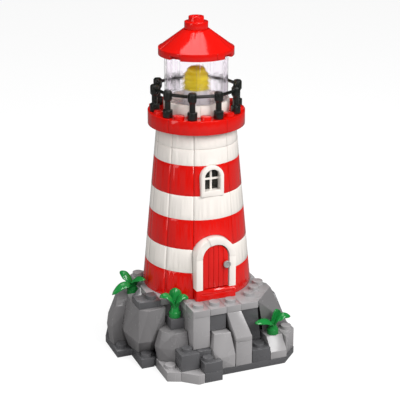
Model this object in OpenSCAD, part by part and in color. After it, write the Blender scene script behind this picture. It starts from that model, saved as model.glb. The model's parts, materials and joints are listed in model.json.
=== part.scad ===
// Brick-built model lighthouse: a tapered, striped tower on a stepped rock, with a hinged
// arched door, a railed gallery, a glazed lantern and a conical roof.
// Origin: the tower's axis on the ground. +Z is up and the door faces -Y.

/* [Brick system] */
// Diameter of a stud
stud_d = 4.9; // [4.6:0.1:5.2]
// Height of a stud
stud_h = 1.7; // [1.4:0.1:2]
// Height of a plate, the thinnest brick
plate_h = 3.2; // [2.6:0.1:4]
// Gap between neighbouring bricks of the rock
joint = 0.12; // [0.08:0.02:0.2]

/* [Tower] */
// Outer radius at the foot
tower_r = 25.8; // [21.5:0.1:31]
// Outer radius just under the gallery
tower_top_r = 18.4; // [15.3:0.1:22]
// Wall thickness
wall = 2; // [1.6:0.1:2.4]
// Height of the lowest red band
foot_h = 12.6; // [11.5:0.1:15.2]
// Height of each of the two lower white bands
white_h = 11.2; // [9.6:0.1:13.4]
// Height of the middle and the upper red band
red_h = 14; // [12:0.1:16]
// Height of each of the two upper white rows
row_h = 7.5; // [6.2:0.1:9]
// Gap between the panels of a band
seam = 0.16; // [0.1:0.02:0.3]
// Angle that the front panels span, between the seams beside the door
front_angle = 50; // [48:1:54]

/* [Door] */
// Width of the doorway
door_w = 13.3; // [11.3:0.1:14.8]
// Height of the doorway at its crown
door_h = 21.8; // [18.5:0.1:26]
// Width of the white surround's jambs
jamb_w = 3.1; // [2.6:0.1:3.7]
// Distance that the surround's face stands proud of the tower's foot
surround_proud = 1; // [0.8:0.1:2]
// Height of the sill block
sill_h = 5.4; // [4.5:0.1:6.4]
// Thickness of the door leaf
leaf_t = 1.8; // [1.5:0.1:2.2]
// Distance that the leaf lies back from the surround's face
leaf_recess = 0.55; // [0.45:0.05:0.55]
// Clearance between the leaf and the doorway
leaf_gap = 0.55; // [0.55:0.05:0.7]
// Diameter of the hinge rod
pin_d = 0.8; // [0.6:0.05:0.8]
// Radial clearance of the rod in its sockets
pin_gap = 0.06; // [0.03:0.01:0.1]
// Diameter of the door's round knob
knob_d = 3.4; // [2.8:0.1:4]

/* [Window] */
// Width of the white frame
window_w = 11; // [10:0.1:13]
// Height of the frame at its crown
window_h = 14.4; // [13:0.1:17]
// Width of the frame's border
window_border = 1.7; // [1.5:0.1:2.2]

/* [Gallery] */
// Radius of the gallery ring
gallery_r = 22.4; // [21.9:0.1:26]
// Thickness of the gallery ring
gallery_h = 6.4; // [5.3:0.1:7.8]
// Radius of the circle that the posts stand on
post_ring_r = 19.4; // [18.8:0.1:19.6]
// Number of railing posts
post_count = 10; // [8:1:12]
// Height of a post
post_h = 12.5; // [10.4:0.1:15]
// Thickness of the handrail bars
rail_d = 1.5; // [1.2:0.1:1.8]

/* [Lantern] */
// Outer radius of the white drum
drum_r = 15.2; // [14.8:0.1:16]
// Height of the drum
drum_h = 5.2; // [4.3:0.1:6.4]
// Outer radius of the clear lantern
glass_r = 14.6; // [12.2:0.1:14.8]
// Height of the clear lantern above the drum
glass_h = 20.6; // [18.4:0.1:24.8]
// Thickness of the clear panels
glass_t = 1.2; // [1:0.1:1.6]
// Radius of the yellow lamp dome
lamp_r = 6.2; // [5.2:0.1:8]
// Height of the lamp dome
lamp_h = 10.8; // [9:0.1:13]
// Height of the lamp's stem and foot
stem_h = 9.6; // [8:0.1:11]

/* [Roof] */
// Radius of the eave
eave_r = 17.3; // [16:0.1:21]
// Height of the eave's rim
eave_h = 3.2; // [2.6:0.1:4]
// Height of the cone above the rim
cone_h = 8.2; // [6.8:0.1:10]
// Radius of the cone's top
cone_top_r = 6; // [5.6:0.1:7]
// Radius of the knob on the roof
knob_r = 3.5; // [2.9:0.1:4.2]
// Height of the collar under the knob
collar_h = 3.4; // [2.8:0.1:4]
// Height of the knob above its collar
knob_h = 2.3; // [1.9:0.1:2.8]

/* [Rock] */
// Height of the rock's top above the ground
rock_h = 32; // [28:0.1:38]
// Height of the low front plates
step_h = 4.8; // [4:0.1:5.8]

/* [Hidden] */
$fn = 96;

dark = "#5b5b5e";
mid = "#7f7d7e";
light = "#a5a2a3";
red = "#c8140c";
white = "#f0ece2";
green = "#1e8c3c";
black = "#232320";

// Feet of the bands above the lowest one, counted from the tower's foot
white_lower_h = foot_h;
red_middle_h = white_lower_h + white_h;
white_middle_h = red_middle_h + red_h;
red_upper_h = white_middle_h + white_h;
rows_h = red_upper_h + red_h;
tower_h = rows_h + 2 * row_h;
tower_z = rock_h;
gallery_z = tower_z + tower_h;
deck_z = gallery_z + gallery_h;
glass_z = deck_z + drum_h;
eave_z = glass_z + glass_h;
lamp_z = deck_z + stem_h;
cone_z = eave_z + eave_h;
cap_z = cone_z + cone_h;
stand_foot_h = 1.2;                        // disc on the deck that carries the lamp's stand
collar_r = 5.4;
notch_angle = -145;                        // first notch in the eave
notch_w = 5.4;

// Levels of the rock, counted in plates from the ground and from its top
low_z = 3 * plate_h;
brick_z = 4 * plate_h;
shelf_z = 6 * plate_h;
plate_z = rock_h - plate_h;
tall_z = rock_h - 2 * plate_h;
sprig_z = rock_h - 7.8;                    // top of the brick under the front sprig
foot_rim = 0.6;                            // rim of rock around the tower's foot
drawn_r = 25.8;                            // foot radius that the rock's outlines are drawn for
spread = tower_r / drawn_r;                // the rock's outlines widen with the tower's foot

// Outer radius of the tower at height h above its foot
function tower_radius(h) = tower_r + (tower_top_r - tower_r) * h / tower_h;

// Edges of the ten panels of a band, counted from the middle of the door
front_half = front_angle / 2;
side_angle = (180 - front_angle) / 4;
edges = concat([for (i = [0 : 4]) front_half + i * side_angle],
    [for (i = [0 : 4]) 180 + front_half + i * side_angle], [360 + front_half]);

surround_y = tower_r + surround_proud;     // distances along Y count from the tower's axis
surround_w = door_w + 2 * jamb_w;
door_z = tower_z + sill_h;
door_spring = door_h - door_w / 2;
room_y = tower_r * cos(front_half) - wall - 1;
leaf_y = surround_y - leaf_recess;
door_x = -0.9;                             // middle of the door, left of the tower's axis
hinge_x = -(door_w / 2 - leaf_gap);        // the axis is the leaf's front left edge
hinge_y = -leaf_y;
pin_len = 1.6;                             // length of the rod inside each socket
key_proud = 0.4;                           // the arch's top stone beyond the others
key_angle = 22;                            // half the angle that the top stone spans
groove_w = 0.3;                            // grooves between the leaf's planks
knob_x = door_w / 2 - 1.55;                  // the knob's place on the leaf, its neck and disc
knob_up = 11.6;
knob_neck = 0.7;
knob_disc = 1.2;
// Crown side of the doorway over the hinge, above the leaf's foot
hinge_top = door_spring + sqrt(pow(door_w / 2, 2) - pow(hinge_x - pin_d / 2, 2));

window_x = -0.6;                           // middle of the window, left of the tower's axis
window_z = tower_z + red_upper_h - 0.2;
window_foot = window_border + 0.9;         // height of the frame below the panes
window_h_in = window_h - window_border - window_foot;
window_y = tower_radius(window_z - tower_z) + 0.4;
pane_back = 3.3;                           // the panes lie this far behind the frame's face
bar_w = 0.9;

post_angle = 360 / post_count;
post_start = -27;                          // first post, counted from the door's middle
post_foot_d = 4.5;
post_shaft_d = 2.7;
head_d = 4;
head_h = 4;
rail_z = deck_z + post_h - head_h / 2;

module stud(x, y, z) translate([x, y, z]) cylinder(d = stud_d, h = stud_h);

// A convex stone with the given corners
module stone(corners) hull() polyhedron(corners, [[for (i = [0 : len(corners) - 1]) i]]);

// A straight block from its low corner to its high corner
module block(low, high) translate(low) cube(high - low);

// The rock's outline, widened with the tower's foot
function wide(outline) = [for (p = outline) [p[0] * spread, p[1] * spread]];

// A level outline at height z as corners of a stone
function level(z, outline) = [for (p = wide(outline)) [p[0], p[1], z]];

// A straight rock brick from its low corner to its high corner, and a stud on the rock
module brick(low, high)
    block([low[0] * spread, low[1] * spread, low[2]], [high[0] * spread, high[1] * spread, high[2]]);
module rock_stud(x, y, z) stud(x * spread, y * spread, z);

// An upright slab of rock on an outline
module slab(z, h, outline) translate([0, 0, z]) linear_extrude(h) polygon(wide(outline));

// An upright slab with a round top, from one distance to another in front of the axis
module arch(w, h, back, front)
    translate([0, -back, 0]) rotate([90, 0, 0]) linear_extrude(front - back) {
        translate([-w / 2, 0]) square([w, h - w / 2]);
        translate([0, h - w / 2]) circle(d = w);
    }

// ---- Rock ----

module base_plate() {
    color(dark) {
        slab(0, plate_h, [[-43, 12], [-43, -6.5], [-36.1, -6.5], [-29.5, -13.2],
            [-29.2, -22.4], [-23.3, -28.4], [-13.9, -38.2], [-5.1, -38.2], [-5.1, -41],
            [28.3, -41], [37, -32.6], [37, 24], [25, 36], [-28, 36], [-36, 28]]);
        rock_stud(-39.6, -2, plate_h);
    }
}
module front_step_plates() {
    color(dark) {
        slab(0, step_h, [[-36, -6.7], [-36, -21.4], [-29.7, -21.4], [-29.7, -13.3]]);
        rock_stud(-32.8, -18.5, step_h);
        slab(0, step_h, [[-13.8, -45.2], [-5.2, -45.2], [-5.2, -41.6], [-7.9, -41.6],
            [-7.9, -38.4], [-13.8, -38.4]]);
    }
}
module front_light_plates() {
    color(light) {
        slab(0, step_h, [[-29.4, -22.6], [-29.4, -37.4], [-23.5, -40], [-23.5, -28.6]]);
        rock_stud(-26.4, -33.4, step_h);
        slab(0, step_h, [[-23.4, -28.7], [-23.4, -40], [-17, -45.7], [-14, -45.3],
            [-14, -38.5]]);
    }
}
module rock_core() {
    color(mid) {
        slab(plate_h, shelf_z - plate_h, [[-22.9, -17.4], [-16.1, -17.4], [-16.1, -26.8],
            [19.8, -26.8], [28.1, -20], [28.1, 24], [20, 29.9], [-24, 29.9], [-26.9, 20],
            [-26.9, 1], [-22.9, 1]]);
        difference() {
            translate([0, 0, shelf_z]) cylinder(r = tower_r + foot_rim, h = plate_z - shelf_z);
            slab(brick_z, rock_h, [[-40, -40], [-22.9, -40], [-22.9, 1], [-40, 1]]);
            front_corner();
        }
        slab(shelf_z, plate_z - shelf_z, [[-16.1, -17.4], [-16.1, -26.8], [19.8, -26.8],
            [28.1, -20], [24, -13], [0, 0]]);
    }
}
// Room in front of the tower's foot for the front bricks
module front_corner() {
    slab(brick_z, rock_h, [[-40, -67], [-16.1, -67], [-16.1, -17.4], [-40, -17.4]]);
    slab(brick_z, rock_h, [[-40, -67], [40, -67], [40, -26.8], [-40, -26.8]]);
}
module rock_terrace() {
    color(light) {
        difference() {
            translate([0, 0, plate_z]) cylinder(r = tower_r + foot_rim, h = plate_h);
            slab(brick_z, rock_h, [[-41, -23.9], [-25, -23.9], [-25, -7.9], [-41, -7.9]]);
            front_corner();
        }
        slab(plate_z, plate_h, [[-25, -7.9], [-25, -17.4], [-16.1, -17.4], [-16.1, -26.8],
            [7.9, -26.8], [7.9, -36.3], [16, -36.3], [28.3, -22.9], [28.3, -18.6],
            [23.4, -13], [0, 0], [-22, 18.2], [-28.4, 15.6], [-28.4, 10.4], [-26, 4],
            [-28.6, 0.6], [-28.6, -7.9]]);
        for (p = [[14.9, -28.2], [19.9, -22.9], [24.2, -17.8], [-25.4, 13.4]])
            rock_stud(p[0], p[1], rock_h);
    }
}
module left_tall_rock() {
    color(mid) stone(concat(
        level(plate_h, [[-43, 5.5], [-42.4, 1], [-27.1, 1], [-27.1, 19.8], [-38.2, 19.8]]),
        level(brick_z, [[-44, 6], [-43, 1.2], [-39.8, 17]]),
        level(tall_z - plate_h, [[-40.4, 2.2], [-31.4, 1.2]]),
        level(tall_z, [[-38.5, 6.2], [-31.3, 4.2], [-27.1, 4.2], [-27.1, 16.4], [-34.4, 17]])));
}
module left_slope_rock() {
    color(mid) stone(concat(
        level(step_h + joint, [[-37, -5], [-35.2, -14.8], [-30, -15.4], [-23, -13], [-23, 0.8],
            [-36, 0.8]]),
        level(brick_z, [[-39.3, -5], [-37, -20], [-30.9, -20.8], [-23.1, -17.3], [-38, 0.8]]),
        level(plate_z - joint, [[-36, -8], [-35.8, -17.8], [-32.2, -21.2], [-23.2, -19.6],
            [-23, 0.8], [-35, 0.8]])));
}
module left_terrace_brick() {
    color(dark) {
        brick([-35.7, -18.2, plate_z], [-25.1, -8.2, rock_h]);
        rock_stud(-28.4, -14.3, rock_h);
        stone(concat(
            level(rock_h, [[-35.2, -9.6], [-31.4, -9.6], [-31.4, -8.3], [-35.2, -8.3]]),
            level(rock_h + plate_h, [[-32.4, -8.4], [-31.4, -8.4]])));
    }
}
module front_faceted_rock() {
    color(mid) stone(concat(
        level(step_h + joint, [[-29, -22.4], [-28.9, -25.4], [-23.2, -31], [-16.3, -31],
            [-16.3, -17.6], [-22.7, -17.8]]),
        level(brick_z - 1, [[-30.2, -22.8], [-29.3, -26.2], [-22.9, -31.3], [-16.3, -31.3]]),
        level(shelf_z, [[-27.4, -21.8], [-27.2, -24.8], [-22.7, -29.7], [-16.3, -29],
            [-16.3, -17.6], [-22.7, -18.6]])));
}
module front_column() {
    color(light) brick([-16, -36.2, brick_z + joint], [-7.8, -27, plate_z - joint]);
}
module front_plates() {
    color(light) {
        brick([-16, -36.4, plate_z], [-7.7, -27, rock_h]);
        rock_stud(-12, -32, rock_h);
        brick([-7.55, -36.4, plate_z], [0.4, -27, rock_h]);
        rock_stud(-4, -32, rock_h);
        brick([0.55, -36.4, plate_z], [7.75, -27, rock_h]);
        rock_stud(4, -32, rock_h);
    }
}
module front_slope() {
    color(light) {
        stone(concat(
            level(plate_z - joint, [[0.7, -36.2], [7.7, -36.2], [7.7, -27], [0.7, -27]]),
            level(brick_z + 4.6, [[3.3, -41.2], [11.2, -41.2]]),
            level(brick_z + 2.6, [[3.3, -41.2], [11.2, -41.2], [11.2, -27], [3.3, -27]])));
        brick([3.3, -41, plate_h], [11.3, -27, brick_z + 2.6 - joint]);
    }
}
module front_light_rock() {
    color(light) stone(concat(
        level(plate_h, [[-5, -40.6], [2.9, -41], [2.9, -30], [-5, -30]]),
        level(step_h + joint, [[-6.5, -40.6], [-7.6, -38.2], [-7.6, -30]]),
        level(plate_h + 5.6, [[-5, -41.4]]),
        level(low_z, [[2.9, -41.2]]),
        level(brick_z, [[-7.7, -40], [-7.7, -30]]),
        level(shelf_z + 1, [[-6.6, -38.4], [1.3, -39], [0.6, -30], [-6.6, -30]])));
}
// Bricks that stand apart: the sprig's brick, the recess beside the column and the front steps
module front_dark_bricks() {
    color(dark) {
        brick([-22.6, -25.2, shelf_z + joint], [-16.4, -18, sprig_z]);
        brick([-7.5, -35.4, shelf_z + 1.4], [0.4, -27, plate_z - joint]);
        brick([-23.2, -39.8, step_h], [-14.4, -31.5, brick_z]);
        rock_stud(-18.9, -35.3, brick_z);
        brick([-14.3, -38.5, step_h], [-7.9, -30.2, brick_z]);
        brick([-14, -45, step_h], [-5.1, -41.7, low_z]);
        brick([-14, -42, step_h], [-8.1, -38.6, low_z]);
        rock_stud(-11, -41.6, low_z);
    }
}
module right_dark_rock() {
    color(dark) stone(concat(
        level(low_z + joint, [[13.6, -31], [20.2, -31], [20.2, -27], [13.6, -27]]),
        level(plate_z - joint, [[8.3, -35.6], [16.2, -35.6], [16.2, -27], [8.3, -27]])));
}
module right_big_slope() {
    color(mid) stone(concat(
        level(brick_z + joint, [[21.2, -31.3], [36.3, -26.8], [36.3, -22.9], [28.7, -22.9]]),
        level(rock_h, [[16.4, -36.1], [28.5, -22.9]])));
}
module right_light_slope() {
    color(light) stone(concat(
        level(plate_h, [[21, -41], [29.2, -41], [29.2, -28.2], [21, -28.2]]),
        level(plate_h + 3.6, [[21, -41], [29.2, -41]]),
        level(brick_z, [[21, -35.7], [29.2, -35.7], [29.2, -28.2], [21, -28.2]])));
}
module right_low_bricks() {
    color(dark) {
        brick([11.6, -41, plate_h], [20.7, -34.6, low_z]);
        brick([11.6, -34.5, plate_h], [20.7, -27, low_z]);
        rock_stud(16.2, -37.4, low_z);
    }
}
module right_corner_brick() {
    color(light) {
        slab(plate_h, brick_z - plate_h,
            [[29.4, -39.4], [36.9, -32.4], [36.9, -22.9], [29.4, -22.9]]);
        rock_stud(33.3, -31, brick_z);
    }
}
module right_back_rock() {
    color(dark) stone(concat(
        level(plate_h, [[28.7, -22.6], [36.9, -22.6], [36.9, 2], [28.7, 2]]),
        level(brick_z + 1.2, [[28.7, -22.6], [36.9, -22.6], [36.9, 2]]),
        level(tall_z, [[28.7, -17.6], [33.6, -17.6], [33.6, 0], [28.7, 0]])));
}
module back_rocks() {
    color(mid) {
        stone(concat(
            level(plate_h, [[28.9, 24.1], [36.8, 24.1], [25, 35.8], [21.2, 30.2]]),
            level(tall_z, [[28.7, 24.1], [30.6, 25], [24.4, 31.4], [21.2, 30.2]])));
        stone(concat(
            level(plate_h, [[-23.8, 30.2], [-2, 30.2], [-2, 35.9], [-27.8, 35.9]]),
            level(tall_z - plate_h, [[-23.4, 30.2], [-2, 30.2], [-4, 33], [-22.6, 33]])));
    }
}
module back_light_rocks() {
    color(light) {
        stone(concat(
            level(plate_h, [[28.7, 2.3], [36.9, 2.3], [36.9, 23.8], [28.7, 23.8]]),
            level(brick_z, [[36.9, 3], [36.9, 23.8]]),
            level(plate_z - plate_h, [[28.7, 2.6], [32.4, 3.4], [32.4, 21], [28.7, 23.6]])));
        stone(concat(
            level(plate_h, [[-1.8, 30.2], [20.8, 30.2], [24.6, 35.9], [-1.8, 35.9]]),
            level(brick_z, [[-1.8, 35.9], [22, 35.9]]),
            level(plate_z, [[-1.6, 30.2], [20.2, 30.2], [19, 32.4], [-1, 32.4]])));
        stone(concat(
            level(plate_h, [[-38.8, 20.1], [-27.1, 20.1], [-24.4, 30.2], [-28.1, 35.8],
                [-36.4, 27.2]]),
            level(shelf_z, [[-35.4, 20.1], [-27.1, 20.1], [-24.6, 30], [-28, 32],
                [-33.4, 24.2]])));
    }
}

// One leaf of a sprig: turned to an azimuth, with its reach, the height of its bend and its tip
module sprig_leaf(azimuth, reach, rise, tip) {
    rotate([0, 0, azimuth]) {
        stone([[0.4, -0.9, 2], [0.4, 0.9, 2], [0.6, -0.8, 3.4], [0.6, 0.8, 3.4],
            [0.45 * reach, -2.3, rise - 0.6], [0.45 * reach, 2.3, rise - 0.6],
            [0.45 * reach, -2.1, rise + 0.4], [0.45 * reach, 2.1, rise + 0.4]]);
        stone([[0.45 * reach, -2.3, rise - 0.6], [0.45 * reach, 2.3, rise - 0.6],
            [0.45 * reach, -2.1, rise + 0.4], [0.45 * reach, 2.1, rise + 0.4],
            [0.72 * reach, -2.6, (rise + tip) / 2], [0.72 * reach, 2.6, (rise + tip) / 2],
            [0.72 * reach, -2.4, (rise + tip) / 2 + 1], [0.72 * reach, 2.4, (rise + tip) / 2 + 1],
            [reach, 0, tip], [reach, 0, tip + 0.7]]);
    }
}
module sprig(x, y, z, leaves) {
    color(green) translate([x * spread, y * spread, z]) {
        cylinder(d = 5.4, h = 2.6);
        for (leaf = leaves) sprig_leaf(leaf[0], leaf[1], leaf[2], leaf[3]);
    }
}
module left_sprig() {
    sprig(-30.2, 7.4, tall_z, [[192, 11.4, 7.4, 1.8], [135, 6.8, 9, 9.8], [283, 11.2, 9.4, 10.8]]);
}
module front_sprig() {
    sprig(-19.5, -21.6, sprig_z, [[182, 7.6, 10.6, 11], [325, 6.7, 10, 9.6], [62, 2.6, 9.4, 13]]);
}
module right_sprig() {
    sprig(25.2, -33.5, brick_z, [[203, 12.4, 8.2, 9], [338, 8.3, 9.2, 8.4], [290, 2.6, 7.8, 12.4]]);
}

// ---- Tower ----

module panel(h, height, from, to) {
    r0 = tower_radius(h);
    r1 = tower_radius(h + height);
    half_seam = asin(seam / 2 / r0);
    translate([0, 0, tower_z + h]) rotate([0, 0, from - 90 + half_seam])
        rotate_extrude(angle = to - from - 2 * half_seam)
            polygon([[r0 - wall, 0], [r0, 0], [r1, height], [r1 - wall, height]]);
}
module band(h, height) {
    for (i = [0 : 9]) panel(h, height, edges[i], edges[i + 1]);
}
// A band whose front panel is left out, and whose neighbours run on to the door's surround
module door_band(h, height) {
    difference() {
        for (i = [0 : 8])
            panel(h, height, edges[i] - (i == 0 ? 6 : 0), edges[i + 1] + (i == 8 ? 6 : 0));
        door_cut();
    }
}
module door_cut() {
    translate([door_x, 0, tower_z - 1])
        arch(surround_w + 2 * seam, 1 + sill_h + door_h + jamb_w + seam, wall, surround_y + 5);
}
module window_cut() {
    translate([window_x, 0, window_z - seam])
        arch(window_w + 2 * seam, window_h + 2 * seam, wall, surround_y + 5);
}
module red_band_lower() { color(red) door_band(0, foot_h); }
module white_band_lower() { color(white) door_band(white_lower_h, white_h); }
module red_band_middle() {
    color(red) difference() {
        band(red_middle_h, red_h);
        door_cut();
    }
}
module white_band_middle() {
    color(white) difference() {
        band(white_middle_h, white_h);
        window_cut();
    }
}
module red_band_upper() {
    color(red) difference() {
        band(red_upper_h, red_h);
        window_cut();
    }
}
module white_rows() {
    color(white) difference() {
        for (i = [0 : 1]) band(rows_h + i * row_h, row_h - (i == 0 ? seam / 2 : 0));
        window_cut();
    }
}

// ---- Door and window ----

// The top stone of the arch, which stands proud of the others
module keystone() {
    outer_r = door_w / 2 + jamb_w + key_proud;
    reach = outer_r * tan(key_angle);
    translate([0, -surround_y + 2, door_z + door_spring]) rotate([90, 0, 0])
        linear_extrude(2 + key_proud) intersection() {
            difference() {
                circle(r = outer_r);
                circle(d = door_w);
            }
            polygon([[0, 0], [reach, outer_r], [-reach, outer_r]]);
        }
}
module door_surround() {
    color(white) translate([door_x, 0, 0]) difference() {
        union() {
            translate([0, 0, door_z]) arch(surround_w, door_h + jamb_w, room_y, surround_y);
            keystone();
        }
        translate([0, 0, door_z - 1]) arch(door_w, door_h + 1, room_y - 1, surround_y + 1);
        translate([hinge_x, hinge_y, door_z + door_spring])
            cylinder(d = pin_d + 2 * pin_gap, h = hinge_top - door_spring + pin_len + 0.2);
        for (side = [-1, 1])
            translate([side * surround_w / 2, -surround_y, door_z + door_spring])
                cube([2 * jamb_w, 0.6, seam], center = true);
    }
}
module door_sill() {
    color(red) translate([door_x, 0, 0]) difference() {
        block([-surround_w / 2, -surround_y, tower_z], [surround_w / 2, -room_y, door_z]);
        translate([hinge_x, hinge_y, door_z - pin_len - 0.2])
            cylinder(d = pin_d + 2 * pin_gap, h = pin_len + 1);
        block([-surround_w / 2 + jamb_w, -surround_y - 1, tower_z + sill_h * 0.55],
            [surround_w / 2 - 1, -surround_y + 0.3, tower_z + sill_h * 0.55 + 0.35]);
    }
}
// The leaf turns on a rod along its front left edge, which reaches into the sill and the arch
module door_leaf() {
    leaf_w = door_w - 2 * leaf_gap;
    leaf_h = door_h - 2 * leaf_gap;
    plank_w = leaf_w / 5;
    color(red) translate([door_x, 0, 0]) {
        difference() {
            translate([0, 0, door_z + leaf_gap]) arch(leaf_w, leaf_h, leaf_y - leaf_t, leaf_y);
            for (i = [1 : 4])
                translate([-leaf_w / 2 + i * plank_w, -leaf_y, door_z])
                    cube([groove_w, 0.6, 3 * door_h], center = true);
        }
        translate([hinge_x, hinge_y, door_z - pin_len])
            cylinder(d = pin_d, h = pin_len + hinge_top + pin_len);
    }
}
module door_knob() {
    color("#9a9a9c") translate([door_x + knob_x, -leaf_y, door_z + knob_up]) rotate([90, 0, 0]) {
        cylinder(d = knob_d * 0.6, h = knob_neck);
        translate([0, 0, knob_neck]) cylinder(d = knob_d, h = knob_disc);
    }
}
module window_frame() {
    in_w = window_w - 2 * window_border;
    bar_z = window_foot + window_h_in * 0.47;
    color(white) translate([window_x, 0, window_z]) {
        difference() {
            arch(window_w, window_h, window_y - wall - 2.4, window_y);
            translate([0, 0, window_foot]) arch(in_w, window_h_in, wall, window_y + 1);
        }
        block([-bar_w / 2, -window_y + pane_back - 1, window_foot - 0.2],
            [bar_w / 2, -window_y + pane_back, window_foot + window_h_in + 0.2]);
        block([-in_w / 2 - 0.2, -window_y + pane_back - 1, bar_z],
            [in_w / 2 + 0.2, -window_y + pane_back, bar_z + bar_w]);
    }
}
module window_pane() {
    color(black) translate([window_x, 0, window_z + window_foot])
        arch(window_w - 2 * window_border - 0.1, window_h_in - 0.1, window_y - pane_back - 1,
            window_y - pane_back - 0.05);
}

// ---- Gallery ----

module gallery_ring() {
    color(red) {
        translate([0, 0, gallery_z]) difference() {
            cylinder(r = gallery_r, h = gallery_h);
            for (i = [0 : 4]) rotate([0, 0, 16 - 90 + i * 72])
                translate([gallery_r, 0, gallery_h / 2])
                    cube([0.8, seam, 2 * gallery_h], center = true);
        }
        for (i = [0 : post_count - 1]) rotate([0, 0, post_start - 90 + (i + 0.5) * post_angle])
            stud(post_ring_r, 0, deck_z);
    }
}
module railing_posts() {
    color(black) for (i = [0 : post_count - 1])
        rotate([0, 0, post_start - 90 + i * post_angle]) translate([post_ring_r, 0, deck_z]) {
            cylinder(d = post_foot_d, h = 3.6);
            cylinder(d = post_shaft_d, h = post_h - 1);
            translate([0, 0, post_h - head_h - 1]) cylinder(d1 = post_shaft_d, d2 = head_d, h = 1);
            translate([0, 0, post_h - head_h]) cylinder(d = head_d, h = head_h - 0.5);
            translate([0, 0, post_h - 0.5]) cylinder(d = head_d - 0.8, h = 0.5);
        }
}
// A straight bar from each post to the next
module handrail() {
    bar_len = 2 * post_ring_r * sin(post_angle / 2) - head_d;
    color(black) for (i = [0 : post_count - 1])
        rotate([0, 0, post_start - 90 + (i + 0.5) * post_angle])
            translate([post_ring_r * cos(post_angle / 2), 0, rail_z]) rotate([90, 0, 0])
                cylinder(d = rail_d, h = bar_len, center = true);
}

// ---- Lantern ----

module lantern_drum() {
    color(white) translate([0, 0, deck_z]) difference() {
        cylinder(r = drum_r, h = drum_h);
        translate([0, 0, -1]) cylinder(r = drum_r - wall, h = drum_h + 2);
        for (i = [0 : 4]) rotate([0, 0, -15 - 90 + i * 72])
            translate([drum_r, 0, drum_h / 2]) cube([0.8, seam, 2 * drum_h], center = true);
    }
}
module lantern_glass() {
    color("#dccbe0", 0.4) for (i = [0 : 4]) translate([0, 0, glass_z])
        rotate([0, 0, -15 - 90 + i * 72 + 0.3]) rotate_extrude(angle = 71.4)
            translate([glass_r - glass_t, 0]) square([glass_t, glass_h]);
}
module lamp_stand() {
    color("#e6e6ea", 0.6) translate([0, 0, deck_z]) {
        cylinder(r = drum_r - wall - 0.2, h = stand_foot_h);
        cylinder(r = lamp_r - 0.4, h = lamp_z - deck_z);
    }
}
module lamp_dome() {
    color("#f4e23c", 0.85) translate([0, 0, lamp_z]) {
        cylinder(r = lamp_r, h = lamp_h - lamp_r * 0.6);
        translate([0, 0, lamp_h - lamp_r * 0.6]) intersection() {
            cylinder(r = lamp_r, h = lamp_r * 0.6);
            translate([0, 0, -lamp_r * 0.4]) sphere(r = lamp_r * 1.08);
        }
    }
}

// ---- Roof ----

module roof_cone() {
    color(red) difference() {
        translate([0, 0, eave_z]) {
            cylinder(r = eave_r, h = eave_h);
            translate([0, 0, eave_h]) cylinder(r1 = eave_r - 0.3, r2 = cone_top_r, h = cone_h);
        }
        for (i = [0 : 3]) rotate([0, 0, notch_angle + i * 90]) translate([eave_r, 0, eave_z])
            cube([5, notch_w, 3.4], center = true);
        for (angle = [178, -42, 68]) rotate([0, 0, angle]) hull() {
            translate([eave_r, 0, cone_z - eave_h / 2]) cube([2 * seam, seam, eave_h], center = true);
            translate([eave_r - seam, 0, cone_z]) cube([2 * seam, seam, 2 * seam], center = true);
            translate([cone_top_r, 0, cap_z]) cube([2 * seam, seam, 2 * seam], center = true);
        }
        rotate([0, 0, -79]) translate([eave_r, 0, eave_z + eave_h / 2])
            cube([0.5, seam, eave_h - 0.4], center = true);
    }
}
module roof_knob() {
    color(red) translate([0, 0, cap_z]) difference() {
        union() {
            cylinder(r = collar_r, h = collar_h);
            translate([0, 0, collar_h]) cylinder(r = knob_r, h = knob_h);
        }
        translate([0, 0, collar_h + knob_h - 0.9]) cylinder(r = knob_r - 1.1, h = 2);
    }
}

base_plate();
front_step_plates();
front_light_plates();
rock_core();
rock_terrace();
left_tall_rock();
left_slope_rock();
left_terrace_brick();
front_faceted_rock();
front_column();
front_plates();
front_slope();
front_light_rock();
front_dark_bricks();
right_dark_rock();
right_big_slope();
right_light_slope();
right_low_bricks();
right_corner_brick();
right_back_rock();
back_rocks();
back_light_rocks();
left_sprig();
front_sprig();
right_sprig();
red_band_lower();
white_band_lower();
red_band_middle();
white_band_middle();
red_band_upper();
white_rows();
door_surround();
door_sill();
door_leaf();
door_knob();
window_frame();
window_pane();
gallery_ring();
railing_posts();
handrail();
lantern_drum();
lantern_glass();
lamp_stand();
lamp_dome();
roof_cone();
roof_knob();
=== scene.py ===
import json
import math

import bpy
import numpy as np
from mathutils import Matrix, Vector


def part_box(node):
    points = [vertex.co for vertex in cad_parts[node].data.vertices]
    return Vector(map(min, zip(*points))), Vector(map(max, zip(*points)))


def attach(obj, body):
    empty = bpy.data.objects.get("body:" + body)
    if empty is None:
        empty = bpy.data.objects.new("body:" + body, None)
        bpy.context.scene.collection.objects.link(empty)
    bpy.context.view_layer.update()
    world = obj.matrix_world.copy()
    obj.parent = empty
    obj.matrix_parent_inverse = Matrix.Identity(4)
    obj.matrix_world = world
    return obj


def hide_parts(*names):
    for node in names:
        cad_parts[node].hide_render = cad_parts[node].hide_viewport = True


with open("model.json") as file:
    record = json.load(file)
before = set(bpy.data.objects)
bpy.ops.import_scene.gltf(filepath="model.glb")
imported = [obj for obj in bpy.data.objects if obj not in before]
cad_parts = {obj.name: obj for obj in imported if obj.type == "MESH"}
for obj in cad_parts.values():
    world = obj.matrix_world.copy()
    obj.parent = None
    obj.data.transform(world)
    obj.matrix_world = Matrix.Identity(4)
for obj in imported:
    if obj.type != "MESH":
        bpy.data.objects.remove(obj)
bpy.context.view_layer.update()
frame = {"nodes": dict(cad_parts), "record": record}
mm = 0.001
slotOf = {part["node"]: part["material_slot"] for part in frame["record"]["subparts"]}
bpy.context.scene.view_settings.view_transform = "Standard"
print("frame loaded:", len(frame["nodes"]), "nodes")

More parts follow.
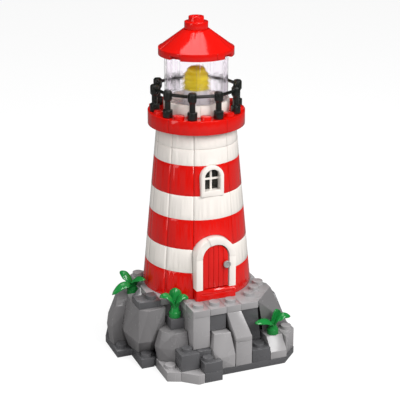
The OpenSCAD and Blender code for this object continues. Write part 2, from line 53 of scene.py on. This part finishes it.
# The camera looks down at the front, a little from the left: metres and degrees, with the
# lens and its sensor in millimetres
cameraSettings = {"place": (-0.1978, -0.4941, 0.2654), "tilt": 70, "turn": -22, "lens": 108,
                  "sensor": 36, "nearest": 0.01}


def makeCamera(settings):
    data = bpy.data.cameras.new("camera")
    data.sensor_width = settings["sensor"]
    data.lens = settings["lens"]
    data.clip_start = settings["nearest"]
    camera = bpy.data.objects.new("camera", data)
    camera.location = settings["place"]
    camera.rotation_euler = (math.radians(settings["tilt"]), 0, math.radians(settings["turn"]))
    bpy.context.scene.collection.objects.link(camera)
    bpy.context.scene.camera = camera


# Adds a shader node, sets its properties, then its inputs by name or number. An input that is
# itself a socket is linked, and anything else is a plain value
def addNode(tree, kind, inputs=None, **properties):
    node = tree.nodes.new(kind)
    for name, value in properties.items():
        setattr(node, name, value)
    for name, value in (inputs or {}).items():
        if isinstance(value, bpy.types.NodeSocket):
            tree.links.new(value, node.inputs[name])
        else:
            node.inputs[name].default_value = value
    return node


def calculated(tree, operation, *values):
    node = addNode(tree, "ShaderNodeMath", dict(enumerate(values)), operation=operation)
    return node.outputs["Value"]


# Maps a value from the range (fromLow, fromHigh) to the range (toLow, toHigh)
def ranged(tree, value, fromLow, fromHigh, toLow=0.0, toHigh=1.0):
    node = addNode(tree, "ShaderNodeMapRange", {
        "Value": value, "From Min": fromLow, "From Max": fromHigh, "To Min": toLow,
        "To Max": toHigh})
    return node.outputs["Result"]


def noise(tree, place, scale, detail, swirl=0.0):
    node = addNode(tree, "ShaderNodeTexNoise", {
        "Vector": place, "Scale": scale, "Detail": detail, "Distortion": swirl})
    return node.outputs["Fac"]


# The Mix node has its own sockets for each kind of data: 2 and 3 hold the two numbers
def mixedNumbers(tree, share, first, second):
    node = addNode(tree, "ShaderNodeMix", {0: share, 2: first, 3: second}, data_type="FLOAT")
    return node.outputs[0]


# Sockets 6 and 7 of the Mix node hold the two colours, and its output 2 their mixture
def mixedColours(tree, share, first, second):
    node = addNode(tree, "ShaderNodeMix", {0: share, 6: first, 7: second}, data_type="RGBA")
    return node.outputs[2]


# 1 where a thing is seen straight on or through something clear, 0 for every other ray
def seenDirectly(tree):
    ray = addNode(tree, "ShaderNodeLightPath").outputs
    return calculated(tree, "MAXIMUM", ray["Is Camera Ray"], ray["Is Transmission Ray"])


# Soft boxes in metres and watts: name, place, width, height, power. The sky has its own
# strength for each kind of ray: seen directly, mirrored, and lighting everything else
lightSettings = {
    "aim": (0, 0, 0.085),
    "boxes": [("keyBox", (0.2, -0.5, 0.5), 0.3, 0.3, 2.9),
              ("stripBox", (-0.17, -0.66, 0.5), 0.05, 0.3, 1.3),
              ("leftBox", (-0.62, -0.1, 0.3), 0.16, 0.42, 0.5),
              ("topBox", (0.0, 0.05, 0.75), 0.4, 0.4, 1.5)],
    "seenSky": 1.05, "mirroredSky": 0.03, "lightingSky": 0.6}


def makeLights(settings):
    for name, place, width, height, power in settings["boxes"]:
        data = bpy.data.lights.new(name, "AREA")
        data.shape = "RECTANGLE"
        data.size = width
        data.size_y = height
        data.energy = power
        lamp = bpy.data.objects.new(name, data)
        lamp.location = place
        aim = Vector(settings["aim"]) - Vector(place)
        lamp.rotation_euler = aim.to_track_quat("-Z", "Y").to_euler()
        bpy.context.scene.collection.objects.link(lamp)
    world = bpy.data.worlds.new("studioSky")
    world.use_nodes = True
    tree = world.node_tree
    sky = tree.nodes["Background"]
    sky.inputs["Color"].default_value = (1, 1, 1, 1)
    ray = addNode(tree, "ShaderNodeLightPath").outputs
    unseen = ranged(tree, ray["Is Glossy Ray"], 0.0, 1.0, settings["lightingSky"],
                    settings["mirroredSky"])
    strength = mixedNumbers(tree, seenDirectly(tree), unseen, settings["seenSky"])
    tree.links.new(strength, sky.inputs["Strength"])
    bpy.context.scene.world = world


floorSettings = {"colour": (0.22, 0.22, 0.22), "roughness": 0.8, "glow": 0.8, "half": 4.0}


# A pale studio floor. It glows only where it is seen directly, so it is bright and lights
# nothing
def makeFloor(settings):
    half = settings["half"]
    mesh = bpy.data.meshes.new("floor")
    mesh.from_pydata([(-half, -half, 0), (half, -half, 0), (half, half, 0), (-half, half, 0)],
                     [], [(0, 1, 2, 3)])
    paint = bpy.data.materials.new("floorPaint")
    paint.use_nodes = True
    tree = paint.node_tree
    shader = tree.nodes["Principled BSDF"]
    shader.inputs["Base Color"].default_value = (*settings["colour"], 1)
    shader.inputs["Roughness"].default_value = settings["roughness"]
    shader.inputs["Emission Color"].default_value = (1, 1, 1, 1)
    glow = calculated(tree, "MULTIPLY", seenDirectly(tree), settings["glow"])
    tree.links.new(glow, shader.inputs["Emission Strength"])
    mesh.materials.append(paint)
    floor = bpy.data.objects.new("floor", mesh)
    bpy.context.scene.collection.objects.link(floor)


# Starts a node group. Its inputs are (name, default), where a number, a colour and None for
# a place each get their kind of socket. Gives the tree, what goes in and what comes out
def startGroup(name, inputs, outputs):
    tree = bpy.data.node_groups.new(name, "ShaderNodeTree")
    for socketName, value in inputs:
        kind = {float: "Float", tuple: "Color"}.get(type(value), "Vector")
        socket = tree.interface.new_socket(socketName, in_out="INPUT",
                                           socket_type="NodeSocket" + kind)
        if value is not None:
            socket.default_value = value
    for socketName, kind in outputs:
        tree.interface.new_socket(socketName, in_out="OUTPUT", socket_type="NodeSocket" + kind)
    given = tree.nodes.new("NodeGroupInput")
    result = tree.nodes.new("NodeGroupOutput")
    return tree, given.outputs, result.inputs


# The moulded surface. Each streak is a turn and a stretch of its noise
skinSettings = {
    "waveScale": 260.0, "waveDetail": 1.0, "grainScale": 2600.0, "grainDetail": 2.0,
    "grainHeight": 0.12, "scratches": 0.5, "scratchHeight": -0.12, "scratchLoss": 0.5,
    "streaks": [((0.5, 0.5, 0.4), (60.0, 900.0, 900.0)), ((-0.7, -0.7, 0.4), (900.0, 900.0, 80.0))],
    "streakDetail": 1.0, "streakRange": (0.68, 0.74),
    "smudges": 0.5, "smudgeScale": 75.0, "smudgeDetail": 3.0, "smudgeRange": (0.45, 0.75)}


# Height = slow wave + a part of the fine grain - scratches. Gloss loss = a part of the
# scratches + greasy smudges. A scratch is the peak of a noise stretched one way
def makeMouldedSkin(settings):
    tree, given, result = startGroup(
        "mouldedSkin",
        [("Vector", None), ("Wave Scale", settings["waveScale"]),
         ("Grain Scale", settings["grainScale"]), ("Scratches", settings["scratches"]),
         ("Smudges", settings["smudges"])],
        [("Height", "Float"), ("Gloss Loss", "Float")])
    place = given["Vector"]
    wave = noise(tree, place, given["Wave Scale"], settings["waveDetail"])
    grain = noise(tree, place, given["Grain Scale"], settings["grainDetail"])
    streaks = []
    for turn, stretch in settings["streaks"]:
        stretched = addNode(tree, "ShaderNodeMapping",
                            {"Vector": place, "Rotation": turn, "Scale": stretch})
        streak = noise(tree, stretched.outputs["Vector"], 1.0, settings["streakDetail"])
        streaks.append(ranged(tree, streak, *settings["streakRange"]))
    scratch = calculated(tree, "MULTIPLY", calculated(tree, "MAXIMUM", *streaks),
                         given["Scratches"])
    patch = noise(tree, place, settings["smudgeScale"], settings["smudgeDetail"])
    smudge = calculated(tree, "MULTIPLY", ranged(tree, patch, *settings["smudgeRange"]),
                        given["Smudges"])
    rough = calculated(tree, "MULTIPLY_ADD", grain, settings["grainHeight"], wave)
    height = calculated(tree, "MULTIPLY_ADD", scratch, settings["scratchHeight"], rough)
    loss = calculated(tree, "MULTIPLY_ADD", scratch, settings["scratchLoss"], smudge)
    tree.links.new(height, result["Height"])
    tree.links.new(loss, result["Gloss Loss"])
    return tree


# Handled edges. The bend range is the cosine between the rounded normal and the true one
edgeSettings = {"radius": 0.0004, "samples": 4, "amount": 0.5, "bendRange": (0.995, 0.8),
                "patchScale": 420.0, "patchDetail": 3.0, "patchRange": (0.35, 0.7)}


# Mask = amount x how far the rounded normal leaves the true one x patches of noise
def makeEdgeRub(settings):
    tree, given, result = startGroup(
        "edgeRub",
        [("Vector", None), ("Radius", settings["radius"]), ("Amount", settings["amount"])],
        [("Mask", "Float")])
    rounded = addNode(tree, "ShaderNodeBevel", {"Radius": given["Radius"]},
                      samples=settings["samples"])
    true = addNode(tree, "ShaderNodeNewGeometry")
    same = addNode(tree, "ShaderNodeVectorMath",
                   {0: rounded.outputs["Normal"], 1: true.outputs["Normal"]},
                   operation="DOT_PRODUCT")
    edge = ranged(tree, same.outputs["Value"], *settings["bendRange"])
    patches = noise(tree, given["Vector"], settings["patchScale"], settings["patchDetail"])
    worn = calculated(tree, "MULTIPLY", edge, ranged(tree, patches, *settings["patchRange"]))
    tree.links.new(calculated(tree, "MULTIPLY", worn, given["Amount"]), result["Mask"])
    return tree


dyeSettings = {"drift": 0.4, "scale": 42.0, "detail": 2.0, "swirl": 0.8, "toneRange": (0.3, 0.7)}


# Colour of dyed plastic: it drifts slowly from the colour to the deeper one and swirls a little
# where the melt flowed, and then turns to the rubbed colour by the rub mask
def makeDyedColour(settings):
    white = (1.0, 1.0, 1.0, 1.0)
    tree, given, result = startGroup(
        "dyedColour",
        [("Vector", None), ("Colour", white), ("Deeper", white), ("Rubbed", white),
         ("Drift", settings["drift"]), ("Rub", 0.0)],
        [("Colour", "Color")])
    slow = noise(tree, given["Vector"], settings["scale"], settings["detail"], settings["swirl"])
    share = calculated(tree, "MULTIPLY", ranged(tree, slow, *settings["toneRange"]),
                       given["Drift"])
    dyed = mixedColours(tree, share, given["Colour"], given["Deeper"])
    tree.links.new(mixedColours(tree, given["Rub"], dyed, given["Rubbed"]), result["Colour"])
    return tree


# Starts a material and lays the moulded skin on its shader: lost gloss adds to the roughness
# and the skin's height bumps the normal
def startMaterial(name, gloss, skin, finish):
    material = bpy.data.materials.new(name)
    material.use_nodes = True
    tree = material.node_tree
    shader = tree.nodes["Principled BSDF"].inputs
    place = addNode(tree, "ShaderNodeTexCoord").outputs["Object"]
    surface = addNode(tree, "ShaderNodeGroup", {
        "Vector": place, "Scratches": finish["scratches"], "Smudges": finish["smudges"]},
        node_tree=skin).outputs
    rough = calculated(tree, "MULTIPLY_ADD", surface["Gloss Loss"], finish["glossLoss"], gloss)
    bump = addNode(tree, "ShaderNodeBump", {
        "Height": surface["Height"], "Strength": finish["bump"], "Distance": finish["depth"]})
    tree.links.new(rough, shader["Roughness"])
    tree.links.new(bump.outputs["Normal"], shader["Normal"])
    return material, tree, shader, place


plasticFinish = {"scratches": 0.5, "smudges": 0.5, "glossLoss": 0.09, "bump": 0.12,
                 "depth": 0.00012, "ior": 1.54}
plasticSettings = {
    "dark_grey_plastic": {"colour": (0.1, 0.099, 0.104), "deeper": (0.075, 0.074, 0.078),
                          "rubbed": (0.2, 0.2, 0.21), "gloss": 0.26, "rub": 0.7},
    # Mid grey is painted shade: a tone between the dark and the light grey, given to parts that read
    # darker because they stand in shade. The bricks come in dark and light grey only
    "mid_grey_plastic": {"colour": (0.2, 0.193, 0.196), "deeper": (0.155, 0.15, 0.152),
                         "rubbed": (0.36, 0.35, 0.355), "gloss": 0.25, "rub": 0.7},
    "light_grey_plastic": {"colour": (0.35, 0.338, 0.342), "deeper": (0.29, 0.28, 0.284),
                           "rubbed": (0.55, 0.54, 0.545), "gloss": 0.25, "rub": 0.7},
    "red_plastic": {"colour": (0.72, 0.005, 0.002), "deeper": (0.6, 0.004, 0.002),
                    "rubbed": (0.8, 0.05, 0.03), "gloss": 0.14, "rub": 0.3},
    "white_plastic": {"colour": (0.9, 0.85, 0.8), "deeper": (0.86, 0.8, 0.73),
                      "rubbed": (0.94, 0.91, 0.87), "gloss": 0.2, "rub": 0.5},
    "green_plastic": {"colour": (0.012, 0.24, 0.045), "deeper": (0.006, 0.14, 0.025),
                      "rubbed": (0.06, 0.42, 0.12), "gloss": 0.2, "rub": 0.5},
    "black_plastic": {"colour": (0.009, 0.01, 0.008), "deeper": (0.006, 0.007, 0.006),
                      "rubbed": (0.035, 0.035, 0.032), "gloss": 0.26, "rub": 0.4},
    "knob_grey_plastic": {"colour": (0.33, 0.33, 0.32), "deeper": (0.25, 0.25, 0.25),
                          "rubbed": (0.6, 0.6, 0.59), "gloss": 0.24, "rub": 0.6}}


def makePlastic(name, settings, finish, skin, edges, dye):
    material, tree, shader, place = startMaterial(name, settings["gloss"], skin, finish)
    rub = addNode(tree, "ShaderNodeGroup", {"Vector": place, "Amount": settings["rub"]},
                  node_tree=edges).outputs["Mask"]
    tones = {"Colour": "colour", "Deeper": "deeper", "Rubbed": "rubbed"}
    colour = addNode(tree, "ShaderNodeGroup", {
        "Vector": place, "Rub": rub, **{key: (*settings[tone], 1) for key, tone in tones.items()}},
        node_tree=dye).outputs["Colour"]
    tree.links.new(colour, shader["Base Color"])
    shader["IOR"].default_value = finish["ior"]
    return material


# Clear plastics are glass to the shader; part of the light passes straight through
clearFinish = {"scratches": 0.3, "smudges": 0.3, "glossLoss": 0.06, "bump": 0.08, "depth": 0.0001}
clearSettings = {
    "clear_plastic": {"colour": (1.0, 0.93, 1.0), "gloss": 0.03, "ior": 1.12, "alpha": 0.4,
                      "clearness": 1.0},
    "stem_plastic": {"colour": (0.85, 0.84, 0.85), "gloss": 0.12, "ior": 1.4, "alpha": 1.0,
                     "clearness": 0.5},
    "yellow_plastic": {"colour": (0.93, 0.76, 0.03), "gloss": 0.08, "ior": 1.4, "alpha": 1.0,
                       "clearness": 0.55}}


def makeClear(name, settings, finish, skin):
    material, _, shader, _ = startMaterial(name, settings["gloss"], skin, finish)
    shader["Base Color"].default_value = (*settings["colour"], 1)
    shader["Transmission Weight"].default_value = settings["clearness"]
    shader["IOR"].default_value = settings["ior"]
    shader["Alpha"].default_value = settings["alpha"]
    return material


# Puts whole arrays of corners and faces into a mesh, and lets it ride on a body
def addPiece(name, surface, node, body="lighthouse"):
    verts, faces = surface
    mesh = bpy.data.meshes.new(name)
    mesh.from_pydata((verts * mm).tolist(), [], faces)
    mesh.polygons.foreach_set("use_smooth", [True] * len(mesh.polygons))
    mesh.materials.append(materials[slotOf[node]])
    mesh.update()
    piece = bpy.data.objects.new(name, mesh)
    bpy.context.scene.collection.objects.link(piece)
    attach(piece, body)
    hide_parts(node)
    return piece


# A smooth step from 0 at x = 0 to 1 at x = 1: x^2 (3 - 2x)
def eased(x):
    x = np.clip(x, 0, 1)
    return x ** 2 * (3 - 2 * x)


# Quads between neighbouring points of a grid: (i, j), (i, j+1), (i+1, j+1), (i+1, j)
def gridFaces(rows, cols, wrapCols=False):
    i = np.arange(rows - 1)
    j = np.arange(cols if wrapCols else cols - 1)
    i, j = (a.ravel() for a in np.meshgrid(i, j, indexing="ij"))
    right = (j + 1) % cols
    return np.stack([i * cols + j, i * cols + right, (i + 1) * cols + right, (i + 1) * cols + j],
                    1).tolist()


# A profile with rounded corners, each (x, y, radius) after the first point: at each inner
# corner a quadratic curve runs from its radius before the corner to its radius after it
def roundedProfile(corners, steps=4):
    points = [np.array(corner[:2], float) for corner in corners]
    t = np.linspace(0, 1, steps + 1)[:, None]
    path = [points[0][None, :]]
    for before, here, after, corner in zip(points, points[1:], points[2:], corners[1:]):
        start = here + (before - here) * min(0.5, corner[2] / np.linalg.norm(before - here))
        end = here + (after - here) * min(0.5, corner[2] / np.linalg.norm(after - here))
        path.append((1 - t) ** 2 * start + 2 * t * (1 - t) * here + t ** 2 * end)
    path.append(points[-1][None, :])
    return np.vstack(path)


# Rings of points, and a pole past the first and the last of them, closed into one skin. Seen
# from the last pole the rings run anticlockwise
def closedRings(rings, firstPole, lastPole):
    count, around = rings.shape[:2]
    verts = np.vstack([rings.reshape(-1, 3), [firstPole, lastPole]])
    j = np.arange(around)
    after = (j + 1) % around
    last = (count - 1) * around
    poles = np.full((2, around), [[count * around], [count * around + 1]])
    faces = gridFaces(count, around, wrapCols=True)
    faces += np.stack([poles[0], after, j], 1).tolist()
    faces += np.stack([poles[1], last + j, last + after], 1).tolist()
    return verts, faces


# A profile of (radius, height) turned about Z: the point at angle a is (r cos a, r sin a, h).
# The profile runs up the outside, from the axis back to the axis
def turned(profile, around=96):
    inner = profile[1:-1]
    angle = np.linspace(0, 2 * np.pi, around, endpoint=False)
    radius = inner[:, :1]
    height = inner[:, 1:] * np.ones(around)
    rings = np.stack([radius * np.cos(angle), radius * np.sin(angle), height], -1)
    return closedRings(rings, (0, 0, profile[0, 1]), (0, 0, profile[-1, 1]))


# Two grids of the same size, an outer and an inner skin, closed along their four borders
def closedPanel(outer, inner):
    rows, cols = outer.shape[:2]
    count = rows * cols
    verts = np.vstack([outer.reshape(-1, 3), inner.reshape(-1, 3)])
    front = gridFaces(rows, cols)
    back = [[index + count for index in face[::-1]] for face in front]
    edge = (list(range(cols)) + [i * cols + cols - 1 for i in range(1, rows)]
            + [(rows - 1) * cols + j for j in range(cols - 2, -1, -1)]
            + [i * cols for i in range(rows - 2, 0, -1)])
    ahead = edge[1:] + edge[:1]
    rim = [[b, a, a + count, b + count] for a, b in zip(edge, ahead)]
    return verts, front + back + rim


def joined(surfaces):
    verts, faces, count = [], [], 0
    for someVerts, someFaces in surfaces:
        verts.append(someVerts)
        faces += [[index + count for index in face] for face in someFaces]
        count += len(someVerts)
    return np.vstack(verts), faces


def moved(surface, shift):
    return surface[0] + np.array(shift), surface[1]


# Sizes in millimetres. Each sprig stands on its foot (x, y), and a leaf is (azimuth, reach,
# height of the bend, height of the tip)
sprigSettings = {
    "left_sprig": {"foot": (-30.2, 7.4), "leaves": [
        (192, 11.4, 7.6, 1.8), (135, 6.8, 9.6, 9.8), (283, 11.2, 9.4, 10.8)]},
    "front_sprig": {"foot": (-19.5, -21.6), "leaves": [
        (182, 7.6, 11.6, 11.0), (325, 6.7, 11.0, 9.6), (62, 2.6, 10.0, 13.4)]},
    "right_sprig": {"foot": (25.2, -33.5), "leaves": [
        (203, 12.4, 8.6, 9.0), (338, 8.3, 10.0, 8.4), (290, 2.2, 9.0, 13.2)]}}
footSettings = {"radius": 2.75, "height": 2.6, "stemRadius": 2.3, "stemTaper": 0.7,
                "stemHeight": 2.6, "rounding": (0.2, 0.35, 0.2, 0.5), "around": 48}

# A leaf starts at (out, up) and is steered by two points, each a share of its reach and of its
# bend. It swells from its neck's width to its full width over a stretch of its length
leafSettings = {
    "start": (0.2, 1.6), "rise": (0.1, 0.8), "bend": (0.45, 1.25), "poleHeight": 1.5,
    "neckWidth": 1.5, "width": 3.1, "swellFrom": 0.05, "swellOver": 0.45,
    "tipPower": 5, "tipRoot": 0.6, "thickness": 0.55, "neckThickening": 0.5, "edgePower": 8,
    "edgeRoot": 0.5, "camber": 0.5, "rib": 0.2, "ribWidth": 0.16, "along": 28, "around": 24}


# One leaf. Its spine is a curve in an upright plane: point = (1-u)^3 start + 3u(1-u)^2 rise
# + 3u^2(1-u) bend + u^3 tip. Round it runs a flat oval: across = width cos s, up = thickness
# sin s, less a droop that grows with the square of the distance from the spine, and a raised
# rib along the middle. Width and thickness end as a root of 1 less a power of u
def leafSurface(leaf, settings):
    azimuth, reach, bend, tip = leaf
    u = np.linspace(0, 1, settings["along"])[:, None]
    size = np.array([reach, bend])
    knots = np.array([settings["start"], size * settings["rise"], size * settings["bend"],
                      (reach, tip)])
    spine = ((1 - u) ** 3 * knots[0] + 3 * u * (1 - u) ** 2 * knots[1]
             + 3 * u ** 2 * (1 - u) * knots[2] + u ** 3 * knots[3])
    slope = np.gradient(spine, axis=0)
    slope /= np.linalg.norm(slope, axis=1)[:, None]
    normal = np.stack([-slope[:, 1], slope[:, 0]], 1)
    swell = np.clip((u - settings["swellFrom"]) / settings["swellOver"], 0, 1)
    width = settings["neckWidth"] + (settings["width"] - settings["neckWidth"]) * eased(swell)
    width = width * np.clip(1 - u ** settings["tipPower"], 0, 1) ** settings["tipRoot"]
    thickness = settings["thickness"] + settings["neckThickening"] * (1 - u) ** 3
    thickness *= np.clip(1 - u ** settings["edgePower"], 0, 1) ** settings["edgeRoot"]
    s = np.linspace(0, 2 * np.pi, settings["around"], endpoint=False)[None, :]
    across = width * np.cos(s)
    share = np.cos(s) * swell
    rib = settings["rib"] * np.exp(-(share / settings["ribWidth"]) ** 2) * swell * np.sign(np.sin(s))
    up = thickness * np.sin(s) + rib * thickness / settings["thickness"] - (
        settings["camber"] * width * share ** 2)
    out = spine[:, :1] + normal[:, :1] * up
    height = spine[:, 1:] + normal[:, 1:] * up
    ahead = np.array([math.cos(math.radians(azimuth)), math.sin(math.radians(azimuth))])
    x = out * ahead[0] - across * ahead[1]
    y = out * ahead[1] + across * ahead[0]
    rings = np.stack([x, y, height], -1)[:-1]
    return closedRings(rings, (*(settings["start"][0] * ahead), settings["poleHeight"]),
                       (*(reach * ahead), tip))


def makeSprig(node, sprig, foot, leaf):
    top = foot["height"] + foot["stemHeight"]
    rounding = foot["rounding"]
    profile = roundedProfile([
        (0, 0), (foot["radius"], 0, rounding[0]), (foot["radius"], foot["height"], rounding[1]),
        (foot["stemRadius"], foot["height"], rounding[2]),
        (foot["stemRadius"] * foot["stemTaper"], top, rounding[3]), (0, top)])
    surfaces = [turned(profile, foot["around"])] + [leafSurface(one, leaf) for one in sprig["leaves"]]
    addPiece(node + "Leaves", moved(joined(surfaces), (*sprig["foot"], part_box(node)[0].z / mm)),
             node)


# The ribs fill a share of the dome's height, and the cap above it starts at another share
domeSettings = {"ribs": 4, "ribDepth": 0.6, "ribbed": 0.86, "power": 3.2, "root": 0.42,
                "footInset": 0.4, "footRise": 0.25, "cap": 0.9, "capStart": 0.1,
                "sideRings": 70, "capRings": 12, "smallest": 0.01}


# The lamp's dome. Its profile is a rounded shoulder: the radius at height h is the full radius
# times a root of 1 - (h / H)^p, drawn in by a cosine of h between the ribs
def makeDome(settings):
    low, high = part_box("lamp_dome")
    radius = (high.x - low.x) / 2 / mm
    height = (high.z - low.z) / mm
    cap, ribbed = settings["cap"], settings["ribbed"] * height
    rise = np.sin(np.linspace(settings["capStart"], np.pi / 2, settings["capRings"]))
    h = np.concatenate([np.linspace(settings["footRise"], height * cap, settings["sideRings"]),
                        height * (cap + (1 - cap) * rise)])
    shoulder = np.clip(1 - (h / height) ** settings["power"], 0, 1) ** settings["root"]
    dip = settings["ribDepth"] * (0.5 - 0.5 * np.cos(2 * np.pi * settings["ribs"] * h / ribbed))
    dip = np.where(h < ribbed, dip, 0)
    outline = np.stack([np.maximum(radius * shoulder - dip, settings["smallest"]), h], 1)[:-1]
    profile = np.vstack([[[0, 0]], [[radius - settings["footInset"], 0]], outline, [[0, height]]])
    addPiece("ribbedLampDome", moved(turned(profile), (0, 0, low.z / mm)), "lamp_dome")


# Millimetres and degrees. The steps are closer together where a lip, a post or a corner turns,
# and the fine ones round a post run on to a multiple of its angle
panelSettings = {"count": 5, "wall": 0.9, "post": 2.1, "postAngle": 5.0, "lip": 1.6,
                 "lipHeight": 1.2, "blend": 0.4, "corner": 0.18, "cornerAngle": 1.0,
                 "cornerHeight": 0.4, "gapAngle": 0.6, "firstAngle": -105,
                 "postEnd": 1.6, "postSteps": 12, "wallSteps": 14, "wallStart": 1.5,
                 "steps": [0, 0.15, 0.5, 0.9, 1.1, 1.3, 1.6, 2.2], "middleFrom": 3, "middleSteps": 5}


# One curved lantern panel: angle a along the arc and height h. The outer skin has the full
# radius, the inner skin lies a thickness inside it, which grows to a post beside each end of
# the arc and to a lip at the top and the foot. Both skins draw together at the borders
def makeLantern(settings):
    low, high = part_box("lantern_glass")
    radius = (high.x - low.x) / 2 / mm
    height = (high.z - low.z) / mm
    post, lip, blend = settings["postAngle"], settings["lipHeight"], settings["blend"]
    step = 360 / settings["count"]
    span = step - settings["gapAngle"]
    postEnd = settings["postEnd"] * post
    edge = np.concatenate([
        np.linspace(0, postEnd, settings["postSteps"]),
        np.linspace(postEnd + settings["wallStart"], span / 2, settings["wallSteps"])])
    arc = np.concatenate([edge, (span - edge[:-1])[::-1]])
    rise = np.array(settings["steps"])
    middle = np.linspace(settings["middleFrom"], height - settings["middleFrom"],
                         settings["middleSteps"])
    level = np.concatenate([rise, middle, (height - rise)[::-1]])
    fromEnd = np.minimum(arc, span - arc)[None, :]
    fromTop = np.minimum(level, height - level)[:, None]
    postShare = eased((post * (1 + blend) - fromEnd) / (post * blend))
    lipShare = eased((lip * (1 + blend) - fromTop) / (lip * blend))
    thick = settings["wall"] + np.maximum((settings["post"] - settings["wall"]) * postShare,
                                          (settings["lip"] - settings["wall"]) * lipShare)
    drawn = settings["corner"] * (2 - eased(fromEnd / settings["cornerAngle"])
                                  - eased(fromTop / settings["cornerHeight"]))
    skins = (radius - drawn, radius - thick + drawn)
    surfaces = []
    for k in range(settings["count"]):
        start = settings["firstAngle"] + settings["gapAngle"] / 2 + k * step
        a, h = np.meshgrid(np.radians(start + arc), level, indexing="xy")
        surfaces.append(closedPanel(*(np.stack([r * np.cos(a), r * np.sin(a), h], -1)
                                      for r in skins)))
    addPiece("lanternPanels", moved(joined(surfaces), (0, 0, low.z / mm)), "lantern_glass")


# Radii and depths in millimetres, measured out of the door. A corner's rounding follows each
knobSettings = {"neck": 1.0, "disc": 1.7, "sunk": -0.2, "neckDepth": 0.7, "depth": 1.9,
                "dish": 0.25, "dishRim": 0.55, "dishFloor": 0.75,
                "rounding": (0.05, 0.1, 0.25, 0.3, 0.15, 0.15), "around": 64}


# The door's knob: a neck, a disc with rounded rims and a shallow dish in its face, turned
# about an axis that points out of the door
def makeKnob(settings):
    low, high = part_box("door_knob")
    neck, disc, depth = settings["neck"], settings["disc"], settings["depth"]
    floor = depth - settings["dish"]
    corners = [(neck, settings["sunk"]), (neck, settings["neckDepth"]),
               (disc, settings["neckDepth"]), (disc, depth),
               (disc - settings["dishRim"], depth), (disc - settings["dishFloor"], floor)]
    profile = roundedProfile([(0, settings["sunk"])]
                             + [(*corner, r) for corner, r in zip(corners, settings["rounding"])]
                             + [(0, floor)])
    verts, faces = turned(profile, settings["around"])
    verts = np.stack([verts[:, 0], -verts[:, 2], verts[:, 1]], 1)
    centre = (low + high) / 2 / mm
    addPiece("roundDoorKnob", moved((verts, faces), (centre.x, high.y / mm, centre.z)), "door_knob",
             body="door")


# Edge radius in millimetres and the least angle, in degrees, that counts as an edge. The
# rock's facets meet at small angles; the tower's curved panels have none that small
bevelSettings = {"dark_grey_plastic": (0.2, 5), "mid_grey_plastic": (0.2, 5),
                 "light_grey_plastic": (0.2, 5), "red_plastic": (0.16, 28),
                 "white_plastic": (0.16, 28), "black_plastic": (0.2, 28), "stem_plastic": (0.2, 28)}
brickSettings = {"weldDistance": 0.00001, "flatAngle": 0.4, "bevelSegments": 2}


# A small node tool that shades every face smooth, so that the bevels can hold the flats flat
def makeSmoothTool():
    tree = bpy.data.node_groups.new("shadeSmooth", "GeometryNodeTree")
    tree.interface.new_socket("Geometry", in_out="INPUT", socket_type="NodeSocketGeometry")
    tree.interface.new_socket("Geometry", in_out="OUTPUT", socket_type="NodeSocketGeometry")
    given = tree.nodes.new("NodeGroupInput")
    result = tree.nodes.new("NodeGroupOutput")
    smooth = tree.nodes.new("GeometryNodeSetShadeSmooth")
    tree.links.new(given.outputs[0], smooth.inputs["Geometry"])
    tree.links.new(smooth.outputs["Geometry"], result.inputs[0])
    return tree


# The moulded bricks keep their frame shapes: their corners are merged and their edges rounded
def finishBrick(part, width, angle, settings, smoothTool):
    weld = part.modifiers.new("weld", "WELD")
    weld.merge_threshold = settings["weldDistance"]
    flats = part.modifiers.new("flats", "DECIMATE")
    flats.decimate_type = "DISSOLVE"
    flats.angle_limit = math.radians(settings["flatAngle"])
    smooth = part.modifiers.new("smooth", "NODES")
    smooth.node_group = smoothTool
    bevel = part.modifiers.new("roundedEdges", "BEVEL")
    bevel.width = width * mm
    bevel.segments = settings["bevelSegments"]
    bevel.limit_method = "ANGLE"
    bevel.angle_limit = math.radians(angle)
    bevel.harden_normals = True
    bevel.miter_outer = "MITER_ARC"
    bevel.use_clamp_overlap = True


makeCamera(cameraSettings)
makeLights(lightSettings)
makeFloor(floorSettings)
print("camera, soft boxes and floor ready")

skinGroup = makeMouldedSkin(skinSettings)
edgeGroup = makeEdgeRub(edgeSettings)
dyeGroup = makeDyedColour(dyeSettings)
materials = {name: makePlastic(name, values, plasticFinish, skinGroup, edgeGroup, dyeGroup)
             for name, values in plasticSettings.items()}
materials.update({name: makeClear(name, values, clearFinish, skinGroup)
                  for name, values in clearSettings.items()})
print("materials ready:", len(materials))

smoothTool = makeSmoothTool()
replacedNodes = [*sprigSettings, "lamp_dome", "lantern_glass", "door_knob"]
for node, part in frame["nodes"].items():
    part.data.materials.clear()
    part.data.materials.append(materials[slotOf[node]])
    if node not in replacedNodes:
        finishBrick(part, *bevelSettings[slotOf[node]], brickSettings, smoothTool)
print("bricks finished:", len(frame["nodes"]) - len(replacedNodes))

for node, sprig in sprigSettings.items():
    makeSprig(node, sprig, footSettings, leafSettings)
print("leaf sprigs ready")
makeDome(domeSettings)
makeLantern(panelSettings)
print("lantern ready")
makeKnob(knobSettings)
print("door knob ready")
